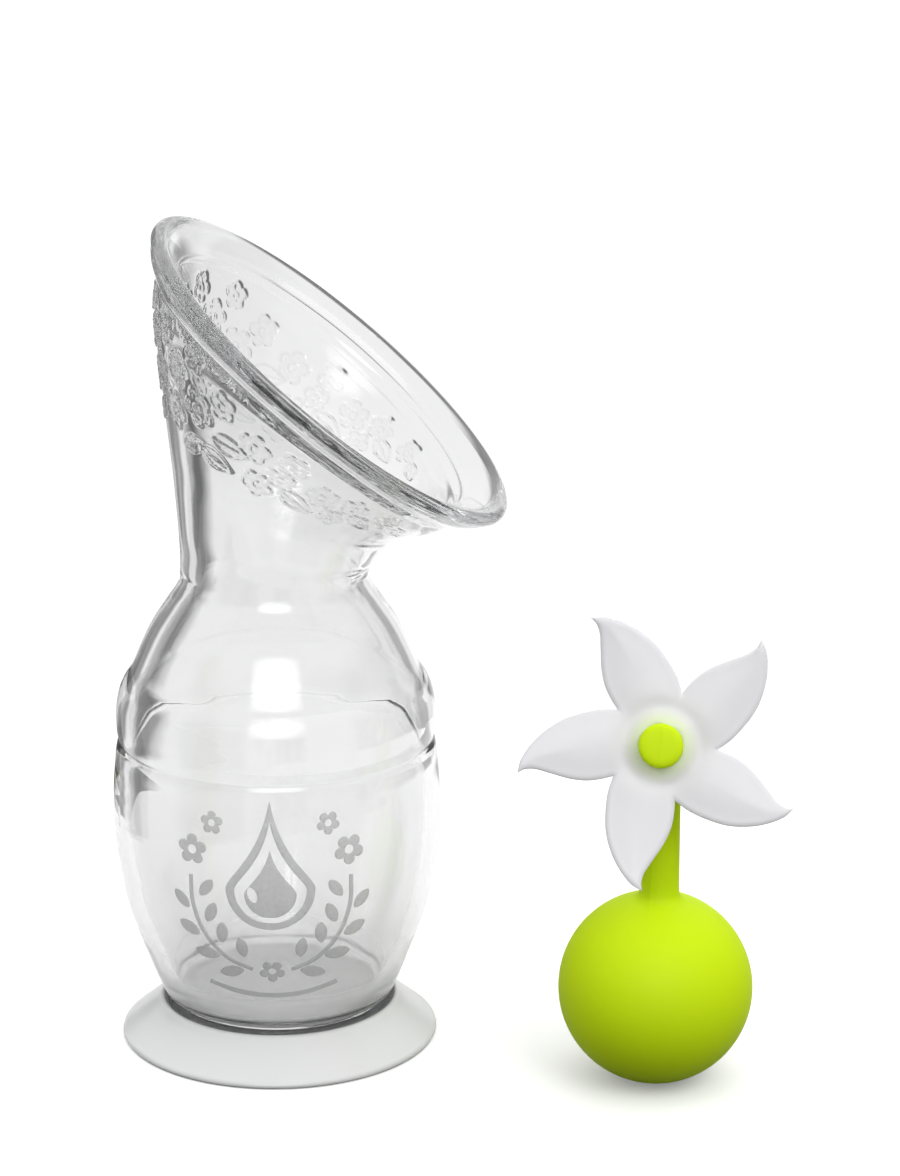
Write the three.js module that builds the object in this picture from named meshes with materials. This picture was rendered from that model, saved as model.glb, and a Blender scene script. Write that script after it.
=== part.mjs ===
// Silicone breast pump with its flower stopper, in millimetres, +Z up.
// The pump stands on its suction base at the origin, with the bottle's axis on Z
// and the breast flange leaning towards +X. The stopper stands beside the pump.
import * as THREE from 'three';

// Pump body: one soft moulding of bottle, neck, funnel and flange.
const WALL = 3.0;
const SIDES = 44;
const FOOT_BOTTOM = 4.6;
const SPIGOT_RADIUS = 21.5;
const FOOT_GROOVE_RADIUS = 20.9;
const INNER_FLOOR = 8.1;
const INNER_FLOOR_RADIUS = 16.2;
const NECK_RADIUS = 18.1;
const NECK_HEIGHT = 94.0;
const FLANGE_CENTRE = new THREE.Vector3(11.7, 0, 134.9);
const FLANGE_TILT = THREE.MathUtils.degToRad(39.5);
const FLANGE_RADIUS = 42.8;

// Suction base: a separate soft cup that the bottle's foot presses into.
const BASE_RADIUS = 31.0;
const CONTACT_INNER_RADIUS = 27.5;
const SOCKET_RADIUS = 21.9;
const SOCKET_FLOOR = 4.3;
const COLLAR_TOP = 7.9;
const HOLLOW_HEIGHT = 2.8;

// Stopper: ball, bent stem and round button, one soft moulding.
const STOPPER_PLACE = new THREE.Vector3(74.7, -18.0, 0);
const STOPPER_SIDES = 28;
const BALL_RADIUS = 18.63;
const BALL_CENTRE = 18.35;
const STEM_RADIUS = 3.75;
const STEM_FOOT_RADIUS = 4.7;
const STEM_FILLET = 0.8;
const STEM_OFFSET = 0.5;
const ELBOW_RADIUS = 4.5;
const BUTTON_RADIUS = 4.2;
const BUTTON_FRONT = 1.7;
const STEM_REACH = 8.6;
const BUTTON_HEIGHT = 69.9;

// Flower: five swirled petals around a hub that turns on the stem's neck.
const FACE_ELEVATION = THREE.MathUtils.degToRad(19);
const PETALS = 5;
const FIRST_TIP = THREE.MathUtils.degToRad(48);
const HUB_HOLE_RADIUS = 3.3;
const HUB_HALF_THICKNESS = 1.1;
const HUB_BEHIND_BUTTON = 2.2;
const NECK_THROUGH_HUB = 3.0;
const PLAY = 0.3;

const AXIS_X = new THREE.Vector3(1, 0, 0);
const AXIS_Y = new THREE.Vector3(0, 1, 0);
const AXIS_Z = new THREE.Vector3(0, 0, 1);

// The bottle's outer outline, as radius and height, from the foot to the neck.
const BOTTLE_OUTLINE = [
  [24.4, 13.8], [26.1, 18.3], [27.8, 22.9], [29.5, 28.2], [30.6, 34.1],
  [31.4, 39.7], [31.85, 46.4], [31.8, 52.0], [31.4, 56.6], [30.6, 61.2],
  [31.0, 65.4], [30.1, 70.8], [27.9, 75.0], [26.3, 79.2], [23.7, 84.5],
  [20.6, 89.2], [18.7, 91.9],
];

// Slanted sections of the funnel. Each one joins a point of its back outline to a
// point of its front outline, as X and Z. The wall is measured along the section,
// and the rise is how far its two sides bow up towards the flange.
const FUNNEL_SECTIONS = [
  { back: [-18.0, 98.0], front: [18.4, 96.0], wall: 3.0, rise: 0 },
  { back: [-18.2, 102.5], front: [19.4, 97.3], wall: 3.0, rise: 0 },
  { back: [-18.6, 108.5], front: [21.0, 99.4], wall: 3.3, rise: 0 },
  { back: [-19.1, 115.0], front: [23.0, 101.8], wall: 3.6, rise: 0 },
  { back: [-19.8, 122.0], front: [26.0, 103.0], wall: 3.8, rise: 0.3 },
  { back: [-20.5, 129.5], front: [29.0, 103.7], wall: 4.0, rise: 0.7 },
  { back: [-21.1, 136.5], front: [31.6, 104.3], wall: 4.2, rise: 1.2 },
  { back: [-21.6, 143.0], front: [33.6, 105.1], wall: 4.4, rise: 1.8 },
  { back: [-21.7, 148.8], front: [34.9, 105.9], wall: 4.8, rise: 2.4 },
];

// The half width of a funnel section over its half length.
const SIDE_TO_LENGTH = 0.985;

// The lip of the flange, as radius, height above the flange plane and rise at its
// sides, from the crease under the lip, round its edge and down to the throat.
const LIP_OUTLINE = [
  [36.8, -7.0, 2.8], [39.0, -5.1, 1.8], [41.5, -2.9, 0.4], [42.6, -1.7, 0],
  [FLANGE_RADIUS, -0.6, 0], [42.3, 0.4, 0], [41.1, 1.0, 0], [39.6, 0.8, 0],
  [37.4, -1.0, 0], [35.1, -3.0, 0], [32.9, -5.8, 0.4],
];

// One petal's outline, as radius and angle in degrees from the tip, from the notch
// before it round the full side, over the tip and back along the hollow side.
const PETAL_OUTLINE = [
  [10.6, -50.5], [12.8, -43], [16.1, -33], [19.3, -25], [22.3, -17],
  [24.8, -10], [26.4, -4.5], [27.2, 0], [24.9, -0.8], [21.6, 2.8],
  [18.2, 9.0], [15.2, 14.6], [12.7, 18], [11.1, 20.3],
];

// Half thickness of the flower from its hub, 0, to its edge, 1.
const PETAL_THICKNESS = [
  [0, HUB_HALF_THICKNESS], [0.3, 1.15], [0.6, 1.3], [0.85, 1.0], [1, 0.4],
];

// A ring of a loft: an ellipse about a centre, with its two half axes as vectors.
// The rise is a vector that lifts the ends of the second axis out of its plane.
function ring(centre, half_length, half_width, rise = new THREE.Vector3()) {
  return { centre, half_length, half_width, rise };
}

function levelRing(radius, height) {
  return ring(
    new THREE.Vector3(0, 0, height),
    AXIS_X.clone().multiplyScalar(radius),
    AXIS_Y.clone().multiplyScalar(radius),
  );
}

// A closed skin over a row of rings, with a point at each end.
function loft(first_point, rings, last_point, sides) {
  const points = [first_point];
  for (const { centre, half_length, half_width, rise } of rings) {
    for (let side = 0; side < sides; side += 1) {
      const angle = (2 * Math.PI * side) / sides;
      points.push(
        centre.clone()
          .addScaledVector(half_length, Math.cos(angle))
          .addScaledVector(half_width, Math.sin(angle))
          .addScaledVector(rise, Math.sin(angle) ** 2),
      );
    }
  }
  points.push(last_point);
  const last = points.length - 1;
  const faces = [];
  for (let side = 0; side < sides; side += 1) {
    const next = (side + 1) % sides;
    faces.push(0, 1 + next, 1 + side);
    for (let row = 0; row + 1 < rings.length; row += 1) {
      const low = 1 + row * sides;
      const high = low + sides;
      faces.push(low + side, low + next, high + next);
      faces.push(low + side, high + next, high + side);
    }
    const top = last - sides;
    faces.push(top + side, top + next, last);
  }
  const geometry = new THREE.BufferGeometry().setFromPoints(points);
  geometry.setIndex(faces);
  geometry.computeVertexNormals();
  return geometry;
}

// The directions across the flange plane and out of it.
const flange_across = AXIS_X.clone().applyAxisAngle(AXIS_Y, FLANGE_TILT);
const flange_out = AXIS_Z.clone().applyAxisAngle(AXIS_Y, FLANGE_TILT);

// The same outline moved inwards by a distance, across its own direction.
function insetOutline(outline, distance) {
  return outline.map(([radius, height], index) => {
    const before = outline[Math.max(index - 1, 0)];
    const after = outline[Math.min(index + 1, outline.length - 1)];
    const run = new THREE.Vector2(after[0] - before[0], after[1] - before[1]).normalize();
    return [radius - run.y * distance, height + run.x * distance];
  });
}

function funnelRing(section, inset) {
  const back = new THREE.Vector3(section.back[0], 0, section.back[1]);
  const front = new THREE.Vector3(section.front[0], 0, section.front[1]);
  const half_length = front.clone().sub(back).multiplyScalar(0.5);
  const length = half_length.length();
  return ring(
    back.clone().add(front).multiplyScalar(0.5),
    half_length.multiplyScalar((length - inset) / length),
    AXIS_Y.clone().multiplyScalar(length * SIDE_TO_LENGTH - inset),
    flange_out.clone().multiplyScalar(section.rise),
  );
}

function lipRing([radius, height, rise]) {
  return ring(
    FLANGE_CENTRE.clone().addScaledVector(flange_out, height),
    flange_across.clone().multiplyScalar(radius),
    AXIS_Y.clone().multiplyScalar(radius),
    flange_out.clone().multiplyScalar(rise),
  );
}

function pumpBodyGeometry() {
  const foot = [
    [20.6, FOOT_BOTTOM], [SPIGOT_RADIUS, 5.4], [SPIGOT_RADIUS, 6.4],
    [FOOT_GROOVE_RADIUS, 7.6], [FOOT_GROOVE_RADIUS, 8.7], [22.5, 9.5],
  ];
  const inner_floor = [[19.6, 10.6], [18.3, 8.8], [INNER_FLOOR_RADIUS, INNER_FLOOR]];
  const inner_bottle = insetOutline(BOTTLE_OUTLINE, WALL).reverse();
  const rings = [
    ...foot.map(([radius, height]) => levelRing(radius, height)),
    ...BOTTLE_OUTLINE.map(([radius, height]) => levelRing(radius, height)),
    levelRing(NECK_RADIUS, NECK_HEIGHT),
    ...FUNNEL_SECTIONS.map((section) => funnelRing(section, 0)),
    ...LIP_OUTLINE.map(lipRing),
    ...FUNNEL_SECTIONS.map((section) => funnelRing(section, section.wall)).reverse(),
    levelRing(NECK_RADIUS - WALL, NECK_HEIGHT),
    ...inner_bottle.map(([radius, height]) => levelRing(radius, height)),
    ...inner_floor.map(([radius, height]) => levelRing(radius, height)),
  ];
  return loft(
    new THREE.Vector3(0, 0, FOOT_BOTTOM),
    rings,
    new THREE.Vector3(0, 0, INNER_FLOOR),
    SIDES,
  );
}

function suctionBaseGeometry() {
  const outline = [
    [12, 2.6], [20, 1.9], [CONTACT_INNER_RADIUS, 0], [BASE_RADIUS, 0], [BASE_RADIUS, 1.2],
    [23.6, 7.3], [22.9, COLLAR_TOP], [SOCKET_RADIUS, 7.6], [SOCKET_RADIUS, SOCKET_FLOOR],
  ];
  return loft(
    new THREE.Vector3(0, 0, HOLLOW_HEIGHT),
    outline.map(([radius, height]) => levelRing(radius, height)),
    new THREE.Vector3(0, 0, SOCKET_FLOOR),
    SIDES,
  );
}

// The way the flower faces, and the direction up its face. X runs across it.
const face_out = new THREE.Vector3(0, -Math.cos(FACE_ELEVATION), Math.sin(FACE_ELEVATION));
const face_up = new THREE.Vector3().crossVectors(face_out, AXIS_X);

// Where the button's middle is, from the foot of the ball.
const button_centre = new THREE.Vector3(
  STEM_OFFSET,
  0,
  BUTTON_HEIGHT - STEM_REACH * Math.sin(FACE_ELEVATION),
).addScaledVector(face_out, STEM_REACH);

// A ring across the stem, leaning forwards from level by an angle.
function stemRing(centre, lean, radius) {
  const behind = AXIS_Y.clone().applyAxisAngle(AXIS_X, lean);
  return ring(centre, AXIS_X.clone().multiplyScalar(radius), behind.multiplyScalar(radius));
}

function stopperGeometry() {
  const rings = [];
  const foot_angle = -Math.asin(BALL_CENTRE / BALL_RADIUS);
  const stem_angle = Math.acos(STEM_FOOT_RADIUS / BALL_RADIUS);
  const ball_rows = 16;
  for (let row = 0; row <= ball_rows; row += 1) {
    const angle = THREE.MathUtils.lerp(foot_angle, stem_angle, row / ball_rows);
    const height = row === 0 ? 0 : BALL_CENTRE + BALL_RADIUS * Math.sin(angle);
    const centre = new THREE.Vector3(row === ball_rows ? STEM_OFFSET : 0, 0, height);
    rings.push(stemRing(centre, 0, BALL_RADIUS * Math.cos(angle)));
  }
  const stem_bottom = BALL_CENTRE + BALL_RADIUS * Math.sin(stem_angle) + STEM_FILLET;
  rings.push(stemRing(new THREE.Vector3(STEM_OFFSET, 0, stem_bottom), 0, STEM_RADIUS));

  const bend = Math.PI / 2 - FACE_ELEVATION;
  const bend_start = button_centre.clone()
    .addScaledVector(face_out, -STEM_REACH)
    .addScaledVector(AXIS_Z, -ELBOW_RADIUS * Math.tan(bend / 2));
  const bend_middle = bend_start.clone().addScaledVector(AXIS_Y, -ELBOW_RADIUS);
  const bend_steps = 5;
  for (let step = 0; step <= bend_steps; step += 1) {
    const lean = (bend * step) / bend_steps;
    const centre = bend_middle.clone()
      .addScaledVector(AXIS_Y, ELBOW_RADIUS * Math.cos(lean))
      .addScaledVector(AXIS_Z, ELBOW_RADIUS * Math.sin(lean));
    rings.push(stemRing(centre, lean, STEM_RADIUS));
  }

  const hub_back = -HUB_BEHIND_BUTTON - HUB_HALF_THICKNESS - PLAY;
  const hub_front = -HUB_BEHIND_BUTTON + HUB_HALF_THICKNESS + PLAY;
  const head = [
    [hub_back, STEM_RADIUS], [hub_back, NECK_THROUGH_HUB],
    [hub_front, NECK_THROUGH_HUB], [hub_front, BUTTON_RADIUS - 0.3],
    [hub_front + 0.6, BUTTON_RADIUS], [BUTTON_FRONT - 0.9, BUTTON_RADIUS - 0.2],
    [BUTTON_FRONT - 0.2, BUTTON_RADIUS * 0.6],
  ];
  for (const [distance, radius] of head) {
    const centre = button_centre.clone().addScaledVector(face_out, distance);
    rings.push(stemRing(centre, bend, radius));
  }
  const front_point = button_centre.clone().addScaledVector(face_out, BUTTON_FRONT);
  return loft(new THREE.Vector3(0, 0, 0), rings, front_point, STOPPER_SIDES);
}

// The flower in its own frame: X across its face, Y up and Z out of the face.
function flowerGeometry() {
  const edge = [];
  for (let petal = 0; petal < PETALS; petal += 1) {
    const tip = FIRST_TIP + (2 * Math.PI * petal) / PETALS;
    for (const [radius, angle] of PETAL_OUTLINE) {
      const direction = tip + THREE.MathUtils.degToRad(angle);
      edge.push([radius * Math.cos(direction), radius * Math.sin(direction)]);
    }
  }
  const start = Math.atan2(edge[0][1], edge[0][0]);
  const section = [
    ...PETAL_THICKNESS,
    ...PETAL_THICKNESS.map(([part, half]) => [part, -half]).reverse(),
  ];
  const points = [];
  edge.forEach(([edge_x, edge_y], index) => {
    const hub_angle = start + (2 * Math.PI * index) / edge.length;
    const hub_x = HUB_HOLE_RADIUS * Math.cos(hub_angle);
    const hub_y = HUB_HOLE_RADIUS * Math.sin(hub_angle);
    for (const [part, offset] of section) {
      const x = THREE.MathUtils.lerp(hub_x, edge_x, part);
      const y = THREE.MathUtils.lerp(hub_y, edge_y, part);
      points.push(new THREE.Vector3(x, y, offset));
    }
  });
  const rows = section.length;
  const faces = [];
  for (let index = 0; index < edge.length; index += 1) {
    const here = index * rows;
    const there = ((index + 1) % edge.length) * rows;
    for (let row = 0; row < rows; row += 1) {
      const next = (row + 1) % rows;
      faces.push(here + row, here + next, there + next);
      faces.push(here + row, there + next, there + row);
    }
  }
  const geometry = new THREE.BufferGeometry().setFromPoints(points);
  geometry.setIndex(faces);
  geometry.computeVertexNormals();
  return geometry;
}

function silicone(color, roughness, opacity = 1) {
  const material = new THREE.MeshStandardMaterial({ color, roughness, metalness: 0 });
  material.opacity = opacity;
  material.transparent = opacity < 1;
  return material;
}

function part(name, geometry, material) {
  const mesh = new THREE.Mesh(geometry, material);
  mesh.name = name;
  return mesh;
}

const pump_body = part('pump_body', pumpBodyGeometry(), silicone(0xe9edf0, 0.25, 0.4));
const suction_base = part('suction_base', suctionBaseGeometry(), silicone(0xe6e9ea, 0.4, 0.8));
const stopper = part('stopper', stopperGeometry(), silicone(0xb9e019, 0.55));
const flower = part('flower', flowerGeometry(), silicone(0xf1f0f3, 0.5));

flower.position.copy(button_centre).addScaledVector(face_out, -HUB_BEHIND_BUTTON);
flower.setRotationFromMatrix(new THREE.Matrix4().makeBasis(AXIS_X, face_up, face_out));

const stopper_set = new THREE.Group();
stopper_set.position.copy(STOPPER_PLACE);
stopper_set.add(stopper, flower);

const breast_pump = new THREE.Group();
breast_pump.add(pump_body, suction_base, stopper_set);

export default breast_pump;
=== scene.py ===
"""Silicone breast pump with its flower stopper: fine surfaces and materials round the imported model."""
import math

import bmesh
import bpy
import numpy as np
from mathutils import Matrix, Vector


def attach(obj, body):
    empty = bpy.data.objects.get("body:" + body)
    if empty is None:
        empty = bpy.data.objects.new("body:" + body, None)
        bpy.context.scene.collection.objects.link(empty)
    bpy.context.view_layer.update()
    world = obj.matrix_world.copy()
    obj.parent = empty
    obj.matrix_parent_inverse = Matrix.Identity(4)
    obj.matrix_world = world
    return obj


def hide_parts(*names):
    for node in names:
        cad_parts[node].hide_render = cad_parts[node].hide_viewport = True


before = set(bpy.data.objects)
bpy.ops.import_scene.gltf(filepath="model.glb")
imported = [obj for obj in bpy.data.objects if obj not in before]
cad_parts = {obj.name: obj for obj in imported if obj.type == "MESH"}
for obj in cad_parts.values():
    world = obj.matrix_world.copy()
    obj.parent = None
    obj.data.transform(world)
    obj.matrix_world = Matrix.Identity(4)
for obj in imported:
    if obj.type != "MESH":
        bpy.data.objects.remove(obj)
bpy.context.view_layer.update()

MM = 0.001
TAU = 2 * math.pi

# Pump body, in millimetres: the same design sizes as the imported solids.
FLANGE_CENTRE = np.array([11.7, 0.0, 134.9])
FLANGE_TILT = math.radians(39.5)
FLANGE_OUT = np.array([math.sin(FLANGE_TILT), 0.0, math.cos(FLANGE_TILT)])
FLANGE_ACROSS = np.array([math.cos(FLANGE_TILT), 0.0, -math.sin(FLANGE_TILT)])
COLUMNS = 440
# How much closer the columns stand at the back, where the relief is.
BACK_DENSITY = 0.38

# Outer and inner outlines of the bottle as radius and height. A new list starts at each crease.
FOOT_RUNS = [
    [(20.4, 4.6), (21.3, 5.0), (21.5, 5.8), (21.4, 6.6)],
    [(20.9, 7.5), (20.8, 8.1), (20.9, 8.7)],
    [(22.1, 9.1), (22.6, 9.6), (22.9, 10.2)],
]
BOTTLE_RUNS = [
    [(22.9, 10.2), (24.4, 13.8), (26.1, 18.3), (27.8, 22.9), (29.5, 28.2), (30.6, 34.1), (31.4, 39.7),
     (31.85, 46.4), (31.8, 52.0), (31.4, 56.6), (31.0, 60.0), (30.75, 60.9)],
    [(30.4, 61.3), (30.75, 62.4), (31.0, 65.4), (30.9, 68.0), (30.2, 71.3), (29.1, 73.6), (28.0, 75.2),
     (27.2, 76.9), (26.2, 79.3), (23.7, 84.5), (20.6, 89.2), (18.8, 91.9), (18.1, 93.4)],
]
INNER_BOTTLE_RUNS = [
    [(15.1, 93.8), (15.6, 92.0), (18.1, 87.9), (21.2, 83.0), (23.7, 78.0), (25.1, 75.0), (26.1, 73.4),
     (27.0, 71.8), (27.7, 69.0), (28.0, 65.5), (27.95, 62.0), (28.05, 60.0), (28.4, 57.6), (28.7, 54.0),
     (28.85, 46.4), (28.4, 39.9), (27.6, 34.5), (26.6, 28.9), (25.0, 23.8), (23.3, 19.3), (21.5, 14.9),
     (19.7, 11.2), (18.4, 9.2), (16.6, 8.2)],
    [(14.0, 8.1), (7.0, 8.1), (1.0, 8.1)],
]

# Slanted sections of the funnel: back x, back z, front x, front z, wall, rise, width over length.
FUNNEL_STATIONS = [
    (-18.1, 94.2, 18.1, 94.0, 3.0, 0.0, 1.0),
    (-18.0, 98.0, 18.4, 96.0, 3.0, 0.0, 0.995),
    (-18.2, 102.5, 19.4, 97.3, 3.0, 0.0, 0.99),
    (-18.6, 108.5, 21.0, 99.4, 3.3, 0.0, 0.985),
    (-19.1, 115.0, 23.0, 101.8, 3.6, 0.0, 0.985),
    (-19.8, 122.0, 26.0, 103.0, 3.8, 0.3, 0.985),
    (-20.5, 129.5, 29.0, 103.7, 4.0, 0.7, 0.985),
    (-21.1, 136.5, 31.6, 104.3, 4.2, 1.2, 0.985),
    (-21.6, 143.0, 33.6, 105.1, 4.4, 1.8, 0.985),
    (-21.7, 148.8, 34.9, 105.9, 4.8, 2.4, 0.99),
    (-21.15, 152.9, 35.65, 106.1, 5.2, 2.8, 1.0),
]

# The lip of the flange: radius, height over the flange plane and rise at its sides.
LIP_RUNS = [
    [(36.8, -7.0, 2.8), (37.7, -6.2, 2.5), (39.4, -4.9, 1.7), (41.0, -3.4, 0.7), (41.9, -2.2, 0.2)],
    [(42.1, -1.7, 0.0), (42.7, -1.1, 0.0), (42.8, -0.5, 0.0), (42.6, 0.2, 0.0), (42.0, 0.7, 0.0),
     (41.2, 0.9, 0.0), (40.0, 0.6, 0.0), (38.4, -0.3, 0.0), (36.4, -1.8, 0.0), (35.3, -2.8, 0.0)],
    [(35.1, -2.95, 0.0), (34.75, -3.1, 0.0), (34.45, -3.6, 0.0), (34.35, -4.2, 0.0)],
    [(34.2, -4.35, 0.0), (33.6, -5.0, 0.1), (32.9, -5.8, 0.4)],
]

# Suction base, stopper and flower.
BASE_RUNS = [
    [(0.5, 2.8), (12.0, 2.6), (20.0, 1.9), (26.5, 0.4), (27.6, 0.0)],
    [(27.8, 0.0), (30.4, 0.0)],
    [(30.8, 0.1), (31.0, 0.5), (30.9, 0.95), (30.5, 1.35)],
    [(30.3, 1.5), (28.0, 3.4), (25.6, 5.4), (24.2, 6.7), (23.6, 7.4), (23.2, 7.8), (22.8, 7.9),
     (22.3, 7.7)],
    [(21.95, 7.4), (21.9, 6.0), (21.9, 4.4)],
    [(21.7, 4.3), (12.0, 4.3), (0.5, 4.3)],
]
STOPPER_PLACE = np.array([74.7, -18.0, 0.0])
BALL_RADIUS, BALL_CENTRE = 18.63, 18.35
STEM_RADIUS, STEM_OFFSET = 3.75, 0.5
BUTTON_RADIUS, BUTTON_FRONT, BUTTON_HEIGHT = 4.2, 1.7, 69.9
STEM_REACH, ELBOW_RADIUS = 8.6, 4.5
FACE_ELEVATION = math.radians(19)
FACE_OUT = np.array([0.0, -math.cos(FACE_ELEVATION), math.sin(FACE_ELEVATION)])
FACE_UP = np.array([0.0, math.sin(FACE_ELEVATION), math.cos(FACE_ELEVATION)])
BUTTON_CENTRE = STOPPER_PLACE + np.array([STEM_OFFSET, 0.0, BUTTON_HEIGHT])
BUTTON_CENTRE[1] -= STEM_REACH * math.cos(FACE_ELEVATION)
HUB_CENTRE = BUTTON_CENTRE - 2.2 * FACE_OUT
HUB_HOLE_RADIUS, NECK_THROUGH_HUB = 3.3, 3.0
PETALS = 5
FIRST_TIP = math.radians(48)
# One petal's outline as radius and degrees from its tip: the full side, then the hollow side.
PETAL_FULL_SIDE = [
    (10.6, -50.5), (12.8, -43), (16.1, -33), (19.3, -25), (22.3, -17), (24.8, -10), (26.5, -4.5),
    (27.3, 0),
]
PETAL_HOLLOW_SIDE = [
    (27.3, 0), (26.0, -0.9), (24.5, -0.6), (21.6, 2.8), (18.2, 9.0), (15.2, 14.6), (12.7, 18.4),
    (10.6, 21.5),
]


# ---------------------------------------------------------------- curves and meshes

def smooth_curve(points, count):
    """Evenly spaced points on a smooth curve through the given ones, of any dimension."""
    p = np.array(points, float)
    t = np.concatenate([[0.0], np.cumsum(np.linalg.norm(np.diff(p, axis=0), axis=1))])
    slope = np.gradient(p, t, axis=0)
    s = np.linspace(0.0, t[-1], count)
    i = np.clip(np.searchsorted(t, s, side="right") - 1, 0, len(t) - 2)
    h = (t[i + 1] - t[i])[:, None]
    u = (s[:, None] - t[i][:, None]) / h
    return (
        (2 * u**3 - 3 * u**2 + 1) * p[i] + (u**3 - 2 * u**2 + u) * h * slope[i]
        + (3 * u**2 - 2 * u**3) * p[i + 1] + (u**3 - u**2) * h * slope[i + 1]
    )


def curve_length(points):
    """Length of the straight steps between points."""
    p = np.array(points, float)
    return float(np.linalg.norm(np.diff(p, axis=0), axis=1).sum())


def run_points(runs, spacing):
    """All runs of an outline in one array, each sampled at about the given spacing."""
    parts = []
    for run in runs:
        count = max(3, int(round(curve_length(run) / spacing)) + 1)
        parts.append(smooth_curve(run, count) if len(run) > 2 else np.linspace(run[0], run[1], count))
    return np.vstack(parts)


def level_rings(outline):
    """Rings round the Z axis: centre, first half axis, second half axis and rise of each."""
    radius, height = outline[:, 0], outline[:, 1]
    zero = np.zeros_like(radius)
    return [
        np.stack([zero, zero, height], 1), np.stack([radius, zero, zero], 1),
        np.stack([zero, radius, zero], 1), np.zeros((len(radius), 3)),
    ]


def funnel_rings(count, inset):
    """Rings of the funnel from the neck to the crease under the lip; inset 1 moves them in by the wall."""
    s = smooth_curve(FUNNEL_STATIONS, count)
    back = np.stack([s[:, 0], 0 * s[:, 0], s[:, 1]], 1)
    front = np.stack([s[:, 2], 0 * s[:, 0], s[:, 3]], 1)
    half = (front - back) / 2
    length = np.linalg.norm(half, axis=1, keepdims=True)
    wall = inset * s[:, 4:5]
    width = length * s[:, 6:7] - wall
    return [
        (front + back) / 2, half * (length - wall) / length,
        width * np.array([0.0, 1.0, 0.0]), s[:, 5:6] * FLANGE_OUT,
    ]


def lip_rings(runs, spacing):
    """Rings of the lip round the flange's slanted axis."""
    s = run_points(runs, spacing)
    return [
        FLANGE_CENTRE + s[:, 1:2] * FLANGE_OUT, s[:, 0:1] * FLANGE_ACROSS,
        s[:, 0:1] * np.array([0.0, 1.0, 0.0]), s[:, 2:3] * FLANGE_OUT,
    ]


def ring_points(rings, angles):
    """Points of every ring at every angle, as rows by columns by 3."""
    centre, length, width, rise = [part[:, None, :] for part in rings]
    c, s = np.cos(angles)[None, :, None], np.sin(angles)[None, :, None]
    return centre + length * c + width * s + rise * s**2


def skin(points, closed_rows=False):
    """Vertices and faces over a grid of rings. Unless the rows close too, a point caps each end."""
    rows, columns = points.shape[:2]
    index = np.arange(rows * columns).reshape(rows, columns)
    low, high = (index, np.roll(index, -1, 0)) if closed_rows else (index[:-1], index[1:])
    quads = np.stack([low, np.roll(low, -1, 1), np.roll(high, -1, 1), high], -1).reshape(-1, 4)
    vertices = points.reshape(-1, 3)
    faces = quads.tolist()
    if not closed_rows:
        first, last = len(vertices), len(vertices) + 1
        vertices = np.vstack([vertices, points[0].mean(0), points[-1].mean(0)])
        following = np.roll(index, -1, 1)
        faces += [(first, int(b), int(a)) for a, b in zip(index[0], following[0])]
        faces += [(int(a), int(b), last) for a, b in zip(index[-1], following[-1])]
    return vertices, faces


def mark(made, name, values):
    """Stores one number per vertex under a name that a material reads."""
    attribute = made.data.attributes.new(name, "FLOAT", "POINT")
    attribute.data.foreach_set("value", np.asarray(values, np.float32))


def add_mesh(name, vertices, faces, material, smooth=True):
    """A new object whose mesh holds millimetre vertices, placed in metres."""
    mesh = bpy.data.meshes.new(name)
    mesh.from_pydata((np.asarray(vertices) * MM).tolist(), [], faces)
    mesh.validate()
    mesh.polygons.foreach_set("use_smooth", [smooth] * len(mesh.polygons))
    mesh.materials.append(material)
    mesh.update()
    made = bpy.data.objects.new(name, mesh)
    bpy.context.scene.collection.objects.link(made)
    return made


def grid_normals(points):
    """Outward unit normals of a ring grid."""
    up = np.gradient(points, axis=0)
    around = np.roll(points, -1, 1) - np.roll(points, 1, 1)
    n = np.cross(around, up)
    return n / np.maximum(np.linalg.norm(n, axis=-1, keepdims=True), 1e-12)


# ---------------------------------------------------------------- materials

def new_material(name):
    """A new node material with its nodes, links and main shader."""
    material = bpy.data.materials.new(name)
    material.use_nodes = True
    nodes, links = material.node_tree.nodes, material.node_tree.links
    return material, nodes, links, nodes["Principled BSDF"]


def noise_node(nodes, links, scale, detail=3.0):
    """Cloudy noise fixed to the object."""
    where = nodes.new("ShaderNodeTexCoord")
    noise = nodes.new("ShaderNodeTexNoise")
    noise.inputs["Scale"].default_value = scale
    noise.inputs["Detail"].default_value = detail
    links.new(where.outputs["Object"], noise.inputs["Vector"])
    return noise


def ranged(nodes, links, source, low, high):
    """A number from 0 to 1 mapped to a range."""
    step = nodes.new("ShaderNodeMapRange")
    step.inputs["To Min"].default_value = low
    step.inputs["To Max"].default_value = high
    links.new(source, step.inputs["Value"])
    return step.outputs["Result"]


def bumped(nodes, links, shader, height, distance, strength, under=None):
    """Gives a shader fine bumps, on top of other bumps if some are given."""
    bump = nodes.new("ShaderNodeBump")
    bump.inputs["Strength"].default_value = strength
    bump.inputs["Distance"].default_value = distance
    links.new(height, bump.inputs["Height"])
    if under is not None:
        links.new(under, bump.inputs["Normal"])
    links.new(bump.outputs["Normal"], shader.inputs["Normal"])
    return bump.outputs["Normal"]


def vertex_number(nodes, name):
    """The number that mark stored on the vertices under a name."""
    where = nodes.new("ShaderNodeAttribute")
    where.attribute_name = name
    return where.outputs["Fac"]


def maths(nodes, links, operation, *values):
    """One step of arithmetic on numbers and other nodes' outputs."""
    step = nodes.new("ShaderNodeMath")
    step.operation = operation
    for socket, value in zip(step.inputs, values):
        if isinstance(value, (int, float)):
            socket.default_value = value
        else:
            links.new(value, socket)
    return step.outputs["Value"]


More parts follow.
